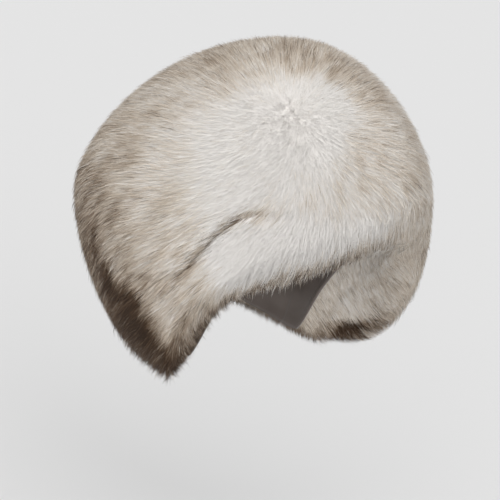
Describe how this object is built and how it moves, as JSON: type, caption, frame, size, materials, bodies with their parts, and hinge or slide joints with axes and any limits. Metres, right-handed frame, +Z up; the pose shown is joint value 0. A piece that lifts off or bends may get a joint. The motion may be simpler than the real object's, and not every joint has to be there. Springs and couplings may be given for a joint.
{
  "type": "ushanka",
  "caption": "Deep-furred winter hat with a rounded crown, a fur band over the forehead, ear flaps worn down, a neck flap and a hollow cloth-lined cap.",
  "frame": {"origin": "the point inside the top of the lining that rests on the crown of the head", "axes": "+Z up out of the top of the hat, front of the hat towards -Y, wearer's left towards +X"},
  "size_m": [0.3565, 0.3372, 0.319],
  "materials": {
    "fur": "deep soft fur, white with tan and brown tips",
    "lining_cloth": "dark quilted lining cloth, slight sheen"
  },
  "bodies": {
    "root": {"crown": "fur", "front_band": "fur", "ear_flap_right": "fur", "ear_flap_left": "fur", "neck_flap": "fur", "lining_front_left": "lining_cloth", "lining_front_right": "lining_cloth", "lining_back_left": "lining_cloth", "lining_back_right": "lining_cloth"}
  },
  "joints": []
}
